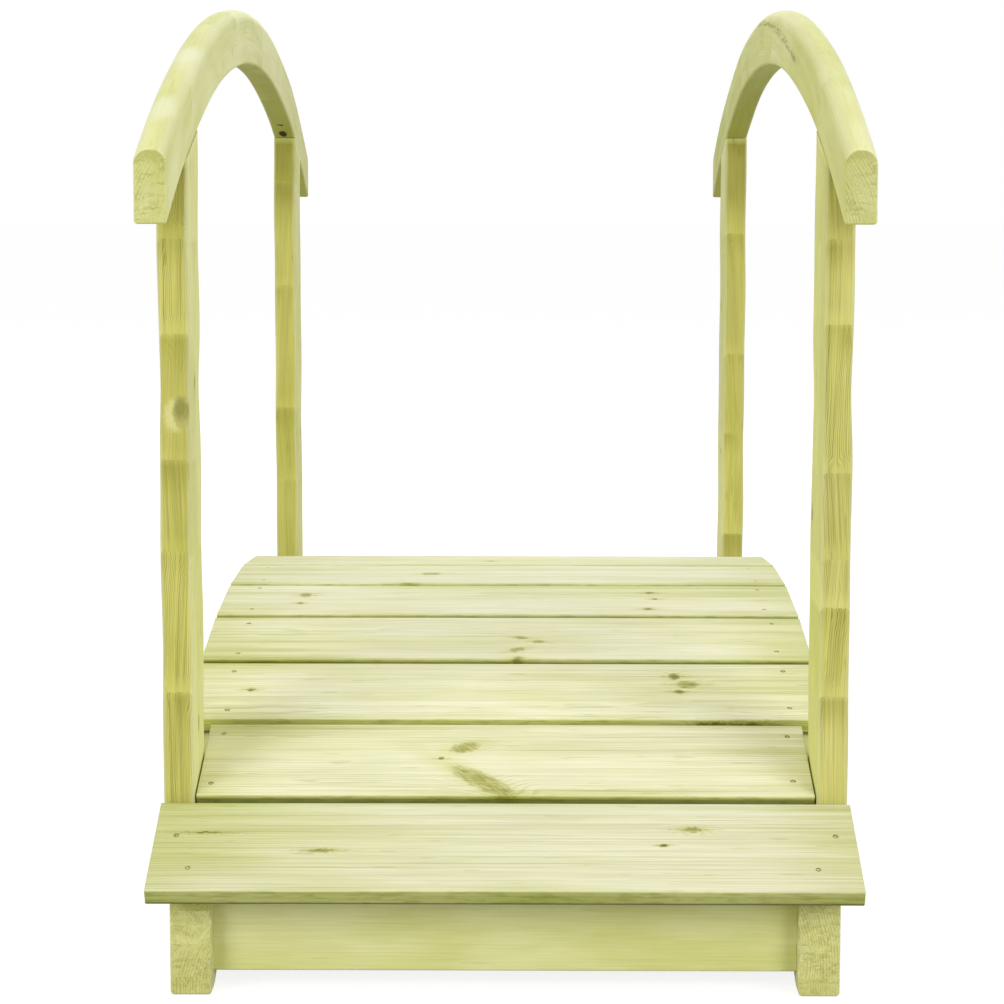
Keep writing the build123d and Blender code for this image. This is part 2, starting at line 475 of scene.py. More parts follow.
RAIL_LOOK = {**BEAM_LOOK, "pale": shade(237, 237, 180), "late": shade(184, 183, 94), "jitter": 0.0003,
             "rings": 0.12, "streaks": 0.10, "bands": 0.10, "cloud": 0.70, "fibre": 0.03, "ticks": 0.15,
             "blocks": 0.08, "edge": (0.75, 0.76, 0.36, 1.0), "end": (0.90, 0.90, 0.92, 1.0)}
RIGHT_RAIL_LOOK = {**RAIL_LOOK, "end": (0.83, 0.83, 0.83, 1.0)}
POST_LOOK = {**BEAM_LOOK, "pale": shade(238, 238, 170), "late": shade(116, 106, 30), "spacing": 0.0018,
             "pith": (0.3, 1.1), "wander": 3.0, "jitter": 0.0010, "rings": 0.70, "weakest": 0.35,
             "streaks": 0.34, "bands": 0.14, "fibre": 0.08, "plain": 0.12, "blocks": 0.11, "joint": 1.0,
             "edge": (0.79, 0.755, 0.41, 1.0)}
REAR_POST_LOOK = {**POST_LOOK, "rings": 0.24, "streaks": 0.16}
FRONT_RIGHT_POST = {"pale": shade(228, 228, 142), "edge": (0.92, 0.87, 0.80, 1.0)}
# Boards sawn flat, with the pith close under their middle, show a wavy figure in the place of lines
FLAT_SAWN_BOARDS = (3, 4, 5, 7, 10)
FLAT_SAWN = {"pith": (0.3, 0.5), "wander": 3.0, "rings": 0.40, "streaks": 0.27, "bands": 0.14, "cloud": 0.40}
# The first two boards are a little darker than the others
BOARD_TONES = {1: 0.85, 2: 0.945}
BOARD_TONE_RANGE = (0.97, 1.0)
# Share of the narrow faces' tint on the right rail's inner face
RIGHT_RAIL_INSIDE = 0.60

# Each noise: its scale along, across and down the grain, and its detail
SLOW_WANDER = ((1.1, 7, 7), 1.0)
QUICK_WANDER = ((14, 50, 50), 1.0)
SHIVER = ((80, 240, 240), 1.0)
CRUMBS = ((200, 280, 280), 3.0)
RING_WIDTHS = ((70, 1, 1), 1.0)
FIBRES = ((16, 800, 800), 1.0)
GRIT = ((1, 260, 420), 1.0)
JOINT_TORN = ((90, 190, 190), 2.0)
# Each texture: a noise, the values between which it rises, and what it rises from and to if not 0 and 1
RING_FADE = ((2.5, 20, 20), 1.0, 0.36, 0.64)
RING_BREAKS = ((6, 280, 280), 1.0, 0.34, 0.58, 0.2, 1.0)
STREAKS = ((2.2, 380, 380), 2.0, 0.50, 0.74)
BANDS = ((1.3, 95, 95), 2.0, 0.42, 0.70)
TICKS = ((24, 190, 190), 0.0, 0.76, 0.82)
CLOUDS = ((8, 26, 26), 2.0, 0.38, 0.68)
BLOTCHES = ((2.4, 10, 10), 2.0, 0.40, 0.70)
SPECKS = ((45, 260, 260), 2.0, 0.46, 0.66)
HATCHING = ((620, 240, 1), 2.0, 0.38, 0.66)
END_PATCHES = ((1, 35, 70), 1.0, 0.43, 0.60, 0.10, 0.9)
END_RIPS = ((1, 45, 330), 2.0, 0.56, 0.72, 0.0, 0.9)
KNOT_STRANDS = ((75, 420, 420), 2.0, 0.38, 0.66, 0.15, 0.95)
TEAR_PATCHES = ((40, 330, 330), 2.0, 0.38, 0.60, 0.1, 0.9)
SCREW_RUST = ((400, 400, 400), 3.0, 0.35, 0.65)
# Each fade of a mark: distances from its centre, in half widths, between which it comes in, and its shares
KNOT_HALO_FADE = (1.7, 0.3, 0.0, 0.8)
KNOT_TAIL_FADE = (1.4, 0.2, 0.0, 0.7)
KNOT_CORE_FADE = (1.4, 0.4, 0.0, 0.9)
KNOT_STRAND_FADE = (1.35, 0.8)
KNOT_HEART_FADE = (1.1, 0.3, 0.0, 0.55)
KNOT_SWELL_FADE = (2.4, 0.4)
ROUND_KNOT_FADE = (1.2, 0.8, 0.0, 0.85)
ROUND_CORE_FADE = (1.4, 0.4, 0.0, 0.9)
ROUND_CURL_FADE = (1.35, 0.7, 0.0, 0.75)
ROUND_HALO_FADE = (5.0, 2.0)
ROUND_SMOOTH_FADE = (1.0, 4.5, 0.2, 1.0)
DENT_FADE = (1.5, 0.5, 0.0, 0.5)
CRACK_FADE = (1.2, 0.3, 0.0, 0.6)
HOLE_FADE = (1.25, 0.8)
HOLE_SINK_FADE = (1.2, 0.5)
# How halos and pushed rings shrink or stretch a knot, and how far it pushes them
KNOT_HALO_STRETCH = (0.45, 0.75, 1.0)
KNOT_SWELL_STRETCH = (0.6, 0.8, 1.0)
KNOT_SWELL = 0.006
# Parts of the round knot: shift up and sideways, half length and half width, as shares of the knot's
ROUND_CURL_PART = (-0.15, -0.70, 0.95, 1.30)
ROUND_CORE_PART = (0.22, 0.0, 0.70, 0.85)

# Rings: places and levels of dark in each, spread of their widths, distance of the pith, wander and crumbs
RING_LEVELS = ((0.0, 0.0), (0.46, 0.1), (0.82, 1.0), (0.94, 0.85), (1.0, 0.0))
RING_STOPS = [(place, (level, level, level, 1.0)) for place, level in RING_LEVELS]
RING_WIDTH_SPREAD = 2.2
PITH_FAR = (0.07, 0.13)
SEED_RANGE = (0, 20)
SLOW_REACH = (0.0, 0.016, 0.016)
RIPPLE = 0.0018
CRUMB_REACH = (0.010, 0.007, 0.007)
FIBRE_RANGE = (0.25, 0.75)
END_RINGS = 0.4
ARRIS_SHARE = 0.25
# Glued blocks and the zigzag of their joints
FINGER_PITCH = 0.004
FINGER_SLOPE = 2.2
BLOCK_SPREAD = 0.07
BLOCK_SLANT = 0.14
BLOCK_JUMP = 3
# Below each joint of a post the wood is dark, and above it pale and smooth
JOINT_DARK = (0.050, 0.0)
JOINT_EDGE = (-0.003, 0.007)
JOINT_PALE = (0.024, 0.004)
JOINT_RAGGED = 0.005
JOINT_CURL = 3.0
JOINT_SMOOTH = 0.7
JOINT_CLOUDS = (-0.4, 0.8)
# The posts' narrow faces are darker close under the rails with painted shade: where that starts and is full,
# below their tops
CROWN_SHADE_REACH = 0.16
CROWN_SHADE_FULL = 0.07
# The rounded top of a sawn end is darker with painted shade, which comes in between these depths
END_TOP_SHADE_DEPTHS = (-0.012, -0.006)
# Torn lines: depth into the face, and fades as shares of their half width and half length
TEAR_DEPTH = 0.012
TEAR_SIDES = (1.4, 0.2)
TEAR_ENDS = (1.05, 0.95)
# Stains at the boards' ends and sides, and how much blotches and bands move the former
END_STAIN_REACH = 0.13
END_STAIN_PAST = 0.03
END_STAIN_BLOTCH = 0.05
END_STAIN_BAND = 0.07
SIDE_STAIN_REACH = 0.016
# Depths between which the boards' long edges turn dark with painted shade of the gaps between them: far down
# where the edge lies open
OPEN_EDGE = (-0.012, -0.024)
GAP_EDGE = (-0.0020, -0.0060)
OPEN_EDGED_BOARDS = (1, 3, CROWN_NUMBER, BOARD_COUNT)
# Depths between which their lower arrises turn black with a painted shadow, and distances in from the side
UNDER_EDGE_SHADOW = (-0.0145, -0.0170)
UNDER_EDGE_SHADOW_INSETS = (0.0040, 0.0015)
# Relief, gloss and roughness of the wood
STREAK_RELIEF = 0.5
FIBRE_RELIEF = 0.6
GRIT_RELIEF = -2.4
HOLE_RELIEF = -4.0
BUMP = {"Strength": 0.5, "Distance": 0.0004}
GLOSS = 0.3
ROUGHNESS = (0.2, 1.1, 0.74, 0.5)
RING_ROUGHNESS = 0.5


class Value:
    """What a socket carries, a number or a vector, with the signs of arithmetic."""

    def __init__(self, graph, socket):
        self.graph = graph
        self.socket = socket

    def combine(self, operation, first, second):
        method = self.graph.vector if self.socket.type == "VECTOR" else self.graph.math
        return method(operation, first, second)

    def __add__(self, other):
        return self.combine("ADD", self, other)

    def __sub__(self, other):
        return self.combine("SUBTRACT", self, other)

    def __rsub__(self, other):
        return self.combine("SUBTRACT", other, self)

    def __mul__(self, other):
        return self.combine("MULTIPLY", self, other)

    def __truediv__(self, other):
        return self.combine("DIVIDE", self, other)


class Graph:
    """Short ways to add and join the nodes of one material."""

    def __init__(self, tree):
        self.nodes = tree.nodes
        self.links = tree.links

    def feed(self, socket, value):
        if isinstance(value, Value):
            self.links.new(value.socket, socket)
        else:
            socket.default_value = value

    def add(self, kind, inputs=(), **settings):
        node = self.nodes.new(kind)
        for key, value in settings.items():
            setattr(node, key, value)
        for key, value in dict(inputs).items():
            self.feed(node.inputs[key], value)
        return node

    def value(self, kind, inputs=(), output=0, **settings):
        return Value(self, self.add(kind, inputs, **settings).outputs[output])

    def values(self, kind, inputs=()):
        return [Value(self, output) for output in self.add(kind, inputs).outputs]

    def math(self, operation, *values):
        return self.value("ShaderNodeMath", enumerate(values), operation=operation)

    def vector(self, operation, *values):
        output = "Value" if operation == "LENGTH" else "Vector"
        return self.value("ShaderNodeVectorMath", enumerate(values), output, operation=operation)

    def split(self, vector):
        return self.values("ShaderNodeSeparateXYZ", {0: vector})

    def join(self, along, across, depth):
        return self.value("ShaderNodeCombineXYZ", {0: along, 1: across, 2: depth})

    def noise(self, vector, scale, detail, output=0):
        inputs = {"Vector": vector * scale, "Scale": 1.0, "Detail": detail}
        return self.value("ShaderNodeTexNoise", inputs, output)

    def wander(self, vector, scale, detail):
        """Noise as a vector about zero."""
        return self.vector("SUBTRACT", self.noise(vector, scale, detail, "Color"), (0.5, 0.5, 0.5))

    def ease(self, value, start, end, low=0.0, high=1.0):
        inputs = {0: value, 1: start, 2: end, 3: low, 4: high}
        return self.value("ShaderNodeMapRange", inputs, interpolation_type="SMOOTHSTEP")

    def texture(self, vector, scale, detail, start, end, low=0.0, high=1.0):
        """Noise that goes from low to high between two of its values."""
        return self.ease(self.noise(vector, scale, detail), start, end, low, high)

    def near(self, value, other, start, end):
        """Share that comes in as two values draw together."""
        return self.ease(self.math("ABSOLUTE", value - other), start, end)

    def mix(self, share, base, other, blend="MIX"):
        inputs = {0: share, 6: base, 7: other}
        return self.value("ShaderNodeMix", inputs, 2, data_type="RGBA", blend_type=blend)

    def stain(self, share, base, tint):
        """Colour multiplied by a share of a tint."""
        return self.mix(share, base, tint, "MULTIPLY")

    def ramp(self, value, stops, interpolation="LINEAR"):
        node = self.add("ShaderNodeValToRGB", {0: value})
        node.color_ramp.interpolation = interpolation
        elements = node.color_ramp.elements
        while len(elements) < len(stops):
            elements.new(1.0)
        for element, (place, colour) in zip(elements, stops):
            element.position = place
            element.color = colour
        return Value(self, node.outputs[0])

    def turned_back(self, vector, slant):
        """A vector in axes that are turned by a slant about the depth."""
        if slant == 0:
            return vector
        inputs = {"Vector": vector, "Angle": -slant}
        return self.value("ShaderNodeVectorRotate", inputs, rotation_type="Z_AXIS")

    def nearest(self, vector, spots, stretch=(1.0, 1.0, 1.0)):
        """Distance to the nearest of some ellipses, as a share of its half width."""
        found = None
        for centre, halves, slant in spots:
            reach = tuple(half / share for half, share in zip(halves, stretch))
            away = self.turned_back(vector - centre, slant)
            distance = self.vector("LENGTH", away / reach)
            found = distance if found is None else self.math("MINIMUM", found, distance)
        return found

    def spot(self, colour, tint, vector, spots, fade):
        """Colour with a tint over some ellipses."""
        return self.mix(self.ease(self.nearest(vector, spots), *fade), colour, tint)


def new_material(name):
    """Material, the graph of its nodes and its shader."""
    material = bpy.data.materials.new(name)
    material.use_nodes = True
    return material, Graph(material.node_tree), material.node_tree.nodes["Principled BSDF"]


def joined_blocks(graph, grain, joints, layers, bend_radius, draw):
    """Grain places that start afresh in each glued block, its tone and chance, and its joints' shades."""
    first = joints[0]
    length = joints[-1] - first
    along, across, depth = graph.split(grain)
    zigzag = graph.math("PINGPONG", across, FINGER_PITCH) * FINGER_SLOPE + along
    zigzag = zigzag + (graph.noise(grain, *JOINT_TORN) - 0.5) * JOINT_RAGGED
    share = (zigzag - first) / length
    stops, halves = [], []
    for start, end in zip(joints[:-1], joints[1:]):
        centre = ((start + end) / 2 - first) / length
        half = (end - start) / 2 / length
        stops.append(((start - first) / length, (centre, draw.random(), draw.random(), 1.0)))
        halves.append(((start - first) / length, (half, half, half, 1.0)))
    block = graph.ramp(share, stops, "CONSTANT")
    centre, chance, tone = graph.values("ShaderNodeSeparateColor", {0: block})
    half_block = graph.ramp(share, halves, "CONSTANT") * length
    if layers:
        stops = [(place / layers[-1], (draw.random(), draw.random(), 0.0, 1.0)) for place in layers[:-1]]
        layer = graph.ramp(depth / -layers[-1], stops, "CONSTANT")
        layer_chance, layer_tone, _ = graph.values("ShaderNodeSeparateColor", {0: layer})
        chance = graph.math("FRACT", chance + layer_chance)
        tone = graph.math("FRACT", tone + layer_tone)
    from_centre = along - (centre * length + first)
    swing = tone - 0.5
    across = across + (chance - 0.5) * BLOCK_SPREAD
    depth = depth + swing * BLOCK_SPREAD + swing * BLOCK_SLANT * from_centre
    if bend_radius:
        depth = depth + from_centre * from_centre * (0.5 / bend_radius)
    along = along + chance * (length * BLOCK_JUMP)
    below = half_block - from_centre
    dark = graph.ease(below, *JOINT_DARK) * graph.ease(below, *JOINT_EDGE)
    smooth = graph.ease(half_block + from_centre, *JOINT_PALE)
    return graph.join(along, across, depth), tone, chance, dark, smooth


def sawn_end(graph, places, turn):
    """Patches of torn hatching on a sawn end, turned their own way in each glued block, and long rips."""
    _, across, depth = graph.split(places)
    cosine, sine = graph.math("COSINE", turn), graph.math("SINE", turn)
    hatched = graph.join(across * cosine + depth * sine, depth * cosine - across * sine, turn)
    face = graph.join(turn, across, depth)
    hatch = graph.texture(hatched, *HATCHING) * graph.texture(face, *END_PATCHES)
    return graph.math("MAXIMUM", hatch, graph.texture(face, *END_RIPS))


def knotted(graph, colour, places, ragged, knots):
    """Colour with soft knots, the dark strands in them and the thin streaks that trail from them."""
    knot = graph.nearest(ragged, knots)
    halo = graph.nearest(ragged, knots, KNOT_HALO_STRETCH)
    colour = graph.stain(graph.ease(halo, *KNOT_HALO_FADE), colour, KNOT_HALO)
    tails = []
    for centre, (half_length, _, depth), slant in knots:
        reach = min(half_length * KNOT_TAIL_SHARE, KNOT_TAIL_LONGEST)
        if slant == 0:
            tails.append((centre, (reach, KNOT_TAIL_WIDTH, depth), slant))
    if tails:
        tail = graph.ease(graph.nearest(ragged, tails), *KNOT_TAIL_FADE)
        colour = graph.stain(tail, colour, KNOT_STRAND)
    colour = graph.stain(graph.ease(knot, *KNOT_CORE_FADE), colour, KNOT_CORE)
    longest = max(knots, key=lambda spot: spot[1][0])
    strands = graph.texture(graph.turned_back(places, longest[2]), *KNOT_STRANDS)
    colour = graph.stain(graph.ease(knot, *KNOT_STRAND_FADE) * strands, colour, KNOT_STRAND)
    hearts = [spot for spot in knots if spot[1][0] <= SMALL_KNOT]
    if hearts:
        colour = graph.spot(colour, KNOT_DARK_AND_CRACK_SHADE, ragged, hearts, KNOT_HEART_FADE)
    return colour


def round_knot(graph, colour, places, knot):
    """Colour with one smooth knot, darkest in its upper part, and pale wood curled round one side of it."""
    (height, across, sideways), (half_length, depth, half_width), slant = knot

    def part(up, aside, length, width):
        centre = (height + up * half_length, across, sideways + aside * half_width)
        return [(centre, (length * half_length, depth, width * half_width), slant)]

    halo = graph.ease(graph.nearest(places, [knot]), *ROUND_HALO_FADE)
    colour = graph.stain(halo, colour, ROUND_KNOT_HALO)
    colour = graph.spot(colour, ROUND_KNOT_CURL, places, part(*ROUND_CURL_PART), ROUND_CURL_FADE)
    colour = graph.spot(colour, ROUND_KNOT, places, [knot], ROUND_KNOT_FADE)
    return graph.spot(colour, ROUND_KNOT_CORE, places, part(*ROUND_CORE_PART), ROUND_CORE_FADE)


def torn_line(graph, places, start, end, across, width):
    """Share of a dark ragged line on a face, from one place along a bar and its depth to another."""
    along, sideways, depth = graph.split(places)
    slope = (end[1] - start[1]) / (end[0] - start[0])
    level = (along - start[0]) * slope + start[1]
    centre, reach = (start[0] + end[0]) / 2, abs(start[0] - end[0]) / 2
    line = graph.near(depth, level, *(width * share for share in TEAR_SIDES))
    line = line * graph.near(along, centre, *(reach * share for share in TEAR_ENDS))
    return line * graph.near(sideways, across, TEAR_DEPTH, TEAR_DEPTH / 2)


def pine(name, seed, look, marks=None, joints=None, layers=None, bend_radius=None, stained_length=None):
    """Impregnated pine with rings round a far pith, fibres, knots, glued blocks and sawn ends."""
    marks = marks or {}
    knots = marks.get("knots")
    draw = random.Random(seed)
    material, graph, shader = new_material(name)
    places = graph.value("ShaderNodeAttribute", output="Vector", attribute_name="grain")
    finish = graph.value("ShaderNodeAttribute", output="Vector", attribute_name="finish")
    along, across, depth = graph.split(places)
    edge, end, arris = graph.split(finish)
    grain, tone, chance = places, None, draw.random()
    if joints:
        blocks = joined_blocks(graph, places, joints, layers, bend_radius, draw)
        grain, tone, chance, joint_dark, joint_smooth = blocks
    seeded = grain + tuple(draw.uniform(*SEED_RANGE) for _ in range(3))

    # Slow and quick wander of the rings
    ripple = RIPPLE * look["wander"]
    curl = (0.0, ripple, ripple)
    if look["joint"]:
        swing = graph.math("MAXIMUM", joint_dark, joint_smooth) * (ripple * JOINT_CURL) + ripple
        curl = graph.join(0.0, swing, swing)
    around = grain + graph.wander(seeded, *SLOW_WANDER) * SLOW_REACH
    around = around + graph.wander(seeded, *QUICK_WANDER) * curl
    around = around + graph.wander(seeded, *SHIVER) * (0.0, look["jitter"], look["jitter"])

    # Knots with ragged outlines push the rings aside
    ragged = places + graph.wander(places, *CRUMBS) * CRUMB_REACH
    side = draw.choice((-1, 1))
    sideways, down = look["pith"]
    pith = (0.0, side * draw.uniform(*PITH_FAR) * sideways, -draw.uniform(*PITH_FAR) * down)
    radius = graph.vector("LENGTH", (around - pith) * (0.0, 1.0, 1.0))
    if knots:
        swell = graph.nearest(places, knots, KNOT_SWELL_STRETCH)
        radius = radius + graph.ease(swell, *KNOT_SWELL_FADE) * KNOT_SWELL

    # Rings, pale at first and darkening to an abrupt edge
    widths = graph.noise(graph.join(radius, 0.0, 0.0), *RING_WIDTHS)
    turns = radius / look["spacing"] + widths * RING_WIDTH_SPREAD
    broken = graph.texture(seeded, *RING_FADE, look["weakest"]) * graph.texture(seeded, *RING_BREAKS)
    late = graph.ramp(graph.math("FRACT", turns), RING_STOPS) * broken

    # Lines, which are fewer on plain faces, above joints and round the smooth knot
    streak = graph.texture(seeded, *STREAKS)
    band = graph.texture(seeded, *BANDS)
    cloud = graph.texture(seeded, *CLOUDS)
    blotch = graph.texture(seeded, *BLOTCHES)
    fibre = graph.noise(seeded, *FIBRES)
    lined = edge * (1.0 - look["plain"]) + look["plain"]
    if look["joint"]:
        lined = lined * (1.0 - joint_smooth * (JOINT_SMOOTH * look["joint"]))
    if marks.get("round_knot"):
        away = graph.nearest(places, [marks["round_knot"]])
        lined = lined * graph.ease(away, *ROUND_SMOOTH_FADE)
    colour = graph.mix(late * (lined * look["rings"]) + late * end * END_RINGS, look["pale"], look["late"])
    colour = graph.mix(streak * lined * look["streaks"], colour, look["late"])
    colour = graph.mix(band * (lined * look["bands"]), colour, look["late"])
    colour = graph.mix(graph.texture(seeded, *TICKS) * look["ticks"], colour, look["late"])
    colour = graph.stain(cloud * look["cloud"], colour, CLOUD_TINT)
    colour = graph.stain(blotch, colour, GREEN_STAIN)
    fibre_shade = graph.ease(fibre, *FIBRE_RANGE, 1.0 - look["fibre"], 1.0 + look["fibre"] / 2)
    colour = graph.stain(1.0, colour, graph.join(fibre_shade, fibre_shade, fibre_shade))

    # Glued blocks, narrow faces with painted shade under the rails, and the boards' stains, with painted
    # shade in their gaps and a painted shadow under their edges
    if tone is not None:
        colour = graph.mix(tone * look["blocks"], colour, look["late"])
    if look["joint"]:
        shaded = joint_dark * edge * look["joint"] * graph.ease(cloud, *JOINT_CLOUDS)
        colour = graph.stain(shaded, colour, JOINT_TINT)
    # Painted shade on the posts' narrow faces under the rails
    if marks.get("shaded_crown"):
        top = marks["shaded_crown"]
        shaded_crown = graph.ease(graph.split(ragged)[0], top - CROWN_SHADE_REACH, top - CROWN_SHADE_FULL)
        colour = graph.stain(shaded_crown * edge, colour, CROWN_SHADE_TINT)
    colour = graph.stain(edge, colour, look["edge"])
    if stained_length:
        half_length, half_width = stained_length / 2, board_width / 2
        reach = graph.math("ABSOLUTE", along) + blotch * END_STAIN_BLOTCH + (band - 0.5) * END_STAIN_BAND
        stained = graph.ease(reach, half_length - END_STAIN_REACH, half_length + END_STAIN_PAST)
        colour = graph.stain(stained, colour, END_STAIN)
        beside = graph.math("ABSOLUTE", graph.split(ragged)[1])
        beside = graph.ease(beside, half_width - SIDE_STAIN_REACH, half_width)
        colour = graph.stain(beside * blotch, colour, SIDE_STAIN)
        # Painted shade on the boards' long edges, down in the gaps between them
        colour = graph.stain(edge * graph.ease(depth, *look["grime"]), colour, GAP_SHADE_TINT)
        # Painted shadow along the lower arrises of the long sides
        outer = [half_width - inset for inset in UNDER_EDGE_SHADOW_INSETS]
        outer = graph.ease(graph.math("ABSOLUTE", across), *outer)
        colour = graph.stain(outer * graph.ease(depth, *UNDER_EDGE_SHADOW), colour, UNDER_EDGE_SHADOW_TINT)
        colour = graph.stain(edge * graph.texture(seeded, *SPECKS), colour, SPECK_TINT)
    if marks.get("dents"):
        colour = graph.spot(colour, DENT_TINT, ragged, marks["dents"], DENT_FADE)

    # Sawn ends with painted shade at their tops, arrises partly with a painted highlight, and the other
    # marks, with painted shade in cracks and holes
    hatch = sawn_end(graph, ragged, chance * math.pi)
    colour = graph.stain(end, colour, graph.mix(hatch, END_TINT, END_DARK))
    colour = graph.stain(end, colour, look["end"])
    # Painted shade at the tops of sawn ends
    colour = graph.stain(end * graph.ease(depth, *END_TOP_SHADE_DEPTHS), colour, END_TOP_SHADE_TINT)
    # Arrises paler, partly wear and partly a painted highlight
    colour = graph.mix(arris * ARRIS_SHARE, colour, ARRIS_WEAR_AND_HIGHLIGHT_TINT)
    relief = streak * STREAK_RELIEF + fibre * FIBRE_RELIEF
    relief = relief + graph.noise(places, *GRIT) * end * GRIT_RELIEF
    if knots:
        colour = knotted(graph, colour, places, ragged, knots)
    if marks.get("round_knot"):
        colour = round_knot(graph, colour, ragged, marks["round_knot"])
    # Cracks painted dark, as painted shade inside them
    if marks.get("cracks"):
        colour = graph.spot(colour, KNOT_DARK_AND_CRACK_SHADE, ragged, marks["cracks"], CRACK_FADE)
    for tear in marks.get("tears", ()):
        torn = torn_line(graph, ragged, *tear) * graph.texture(places, *TEAR_PATCHES)
        colour = graph.stain(torn, colour, TEAR_TINT)
    if marks.get("holes"):
        hole = graph.nearest(ragged, marks["holes"])
        # Painted shade inside the holes, which the relief also sinks
        colour = graph.mix(graph.ease(hole, *HOLE_FADE), colour, HOLE_SHADE)
        relief = relief + graph.ease(hole, *HOLE_SINK_FADE) * HOLE_RELIEF

    shader.inputs["Specular IOR Level"].default_value = GLOSS
    graph.feed(shader.inputs["Base Color"], colour)
    graph.feed(shader.inputs["Roughness"], graph.ease(late * RING_ROUGHNESS + fibre, *ROUGHNESS))
    graph.feed(shader.inputs["Normal"], graph.value("ShaderNodeBump", {**BUMP, "Height": relief}))
    return material


def random_knots(draw, length, width):
    """Knots scattered over a board that the photograph doesn't show, each through its whole depth."""
    spots = []
    for _ in range(HIDDEN_KNOTS):
        along, across = [draw.uniform(-share, share) for share in HIDDEN_KNOT_PLACES]
        half = draw.uniform(*HIDDEN_KNOT_HALVES)
        halves = (half * draw.uniform(*HIDDEN_KNOT_STRETCH), half, KNOT_DEPTH)
        slant = draw.uniform(-HIDDEN_KNOT_SLANT, HIDDEN_KNOT_SLANT)
        spots.append(((along * length, across * width, 0.0), halves, slant))
    return spots


def board_screws(number, place, draw):
    """Places of a board's screws on its top: where they show, or else in rows with a little scatter."""
    screws = []
    for side in (-1, 1):
        for share in SCREW_ROW_SHARES:
            shift = Vector((draw.uniform(-1, 1), draw.uniform(-1, 1), 0)) * SCREW_SCATTER
            screws.append(Vector((side * SCREW_FROM_MIDDLE, share * board_width, 0)) + shift)
    for pixel in SCREWS_SEEN.get(number, ()):
        seen = on_plane(pixel, place)
        near = min(range(len(screws)), key=lambda index: (screws[index] - seen).length)
        if (screws[near] - seen).length < SCREW_MATCH:
            screws[near] = seen
    return screws


def deck_board(number):
    """Plank with rounded edges, a little cup and bow, and countersunk holes for the screws it returns."""
    node = f"deck_board_{number}"
    seed = BOARD_SEED + number
    draw = random.Random(seed)
    length = size(node).x
    angle = math.asin(middle(node).y / deck_middle_radius)
    place = Matrix.Translation((0, 0, deck_axis)) @ Matrix.Rotation(-angle, 4, "X")
    place = place @ Matrix.Translation((0, 0, deck_top_radius))
    screws = board_screws(number, place, draw)

    half_width = board_width / 2
    flat = half_width - BOARD_EDGE_RADIUS - EDGE_HOLD
    fine = (COUNTERSINK_REACH, COUNTERSINK_STEP)
    places = spread(-length / 2, length / 2, BOARD_STEP, [screw.x for screw in screws], *fine)
    stations = eased_ends(places, BOARD_ARRIS)
    top_cuts = spread(-flat, flat, BOARD_CROSS_STEP, [screw.y for screw in screws], *fine)
    cuts = (BOARD_BOTTOM_CUTS, BOARD_SIDE_CUTS, top_cuts, BOARD_SIDE_CUTS)
    bow, cup = draw.uniform(-1, 1) * BOARD_BOW, draw.uniform(*BOARD_CUP_SHARES) * BOARD_CUP
    grain, finishes = [], []
    for along, inset, sawn in stations:
        section = outline((-half_width, -board_thickness), (half_width, 0.0), [BOARD_EDGE_RADIUS] * 4,
                          cuts, inset)
        across, depth = section[:, 0], section[:, 1].copy()
        on_top = section[:, 3] > UPWARD
        for screw in screws:
            away = np.hypot(across - screw.y, along - screw.x)
            slope = (COUNTERSINK_RADIUS - away) / (COUNTERSINK_RADIUS - COUNTERSINK_FLOOR)
            depth -= COUNTERSINK_DEPTH * np.clip(slope, 0, 1) * on_top
        depth += cup * ((across / half_width) ** 2 - 1) + bow * ((2 * along / length) ** 2 - 1)
        grain.append(np.column_stack((np.full(len(section), along), across, depth)))
        finishes.append(finish_of(section, 0, sawn))
    grain = np.array(grain)
    matrix = np.array(place)
    rings = (grain.reshape(-1, 3) @ matrix[:3, :3].T + matrix[:3, 3]).reshape(grain.shape)

    knots = []
    for pixel, half_length, half_across, slant in KNOTS_SEEN.get(number, ()):
        centre = on_plane(pixel, place)
        knots.append((tuple(centre), (half_length, half_across, KNOT_DEPTH), math.radians(slant)))
    if not knots:
        knots = random_knots(draw, length, board_width)
    for pixel in EDGE_KNOTS_SEEN.get(number, ()):
        across = on_plane(pixel, place).x
        knots.append(((across, -half_width, -board_thickness / 2), EDGE_KNOT_HALVES, 0.0))
    tone = BOARD_TONES.get(number, draw.uniform(*BOARD_TONE_RANGE))
    look = {**DECK_LOOK, "pale": tuple(tone * level for level in DECK_LOOK["pale"][:3]) + (1.0,)}
    look["grime"] = OPEN_EDGE if number in OPEN_EDGED_BOARDS else GAP_EDGE
    if number in FLAT_SAWN_BOARDS:
        look.update(FLAT_SAWN)
    material = pine(node, seed, look, {"knots": knots}, stained_length=length)
    place_timber(node, rings, grain, finishes, material)
    return [place @ Matrix.Translation(screw - Vector((0, 0, SCREW_SINK))) for screw in screws]


def arc_grain(points, axis, radius, across_middle):
    """Grain places of a bent bar: along its top arc, across it and down from that arc."""
    rise = points[..., 2] - axis
    along = np.arctan2(points[..., 1], rise) * radius
    depth = np.hypot(points[..., 1], rise) - radius
    return np.stack((along, points[..., 0] - across_middle, depth), -1)


def block_joints(draw, first, last, lengths):
    """Places of glued joints from the first one on, until the last block is short."""
    joints = [first]
    while joints[-1] < last - LAST_BLOCK:
        joints.append(joints[-1] + draw.uniform(*lengths))
    return joints


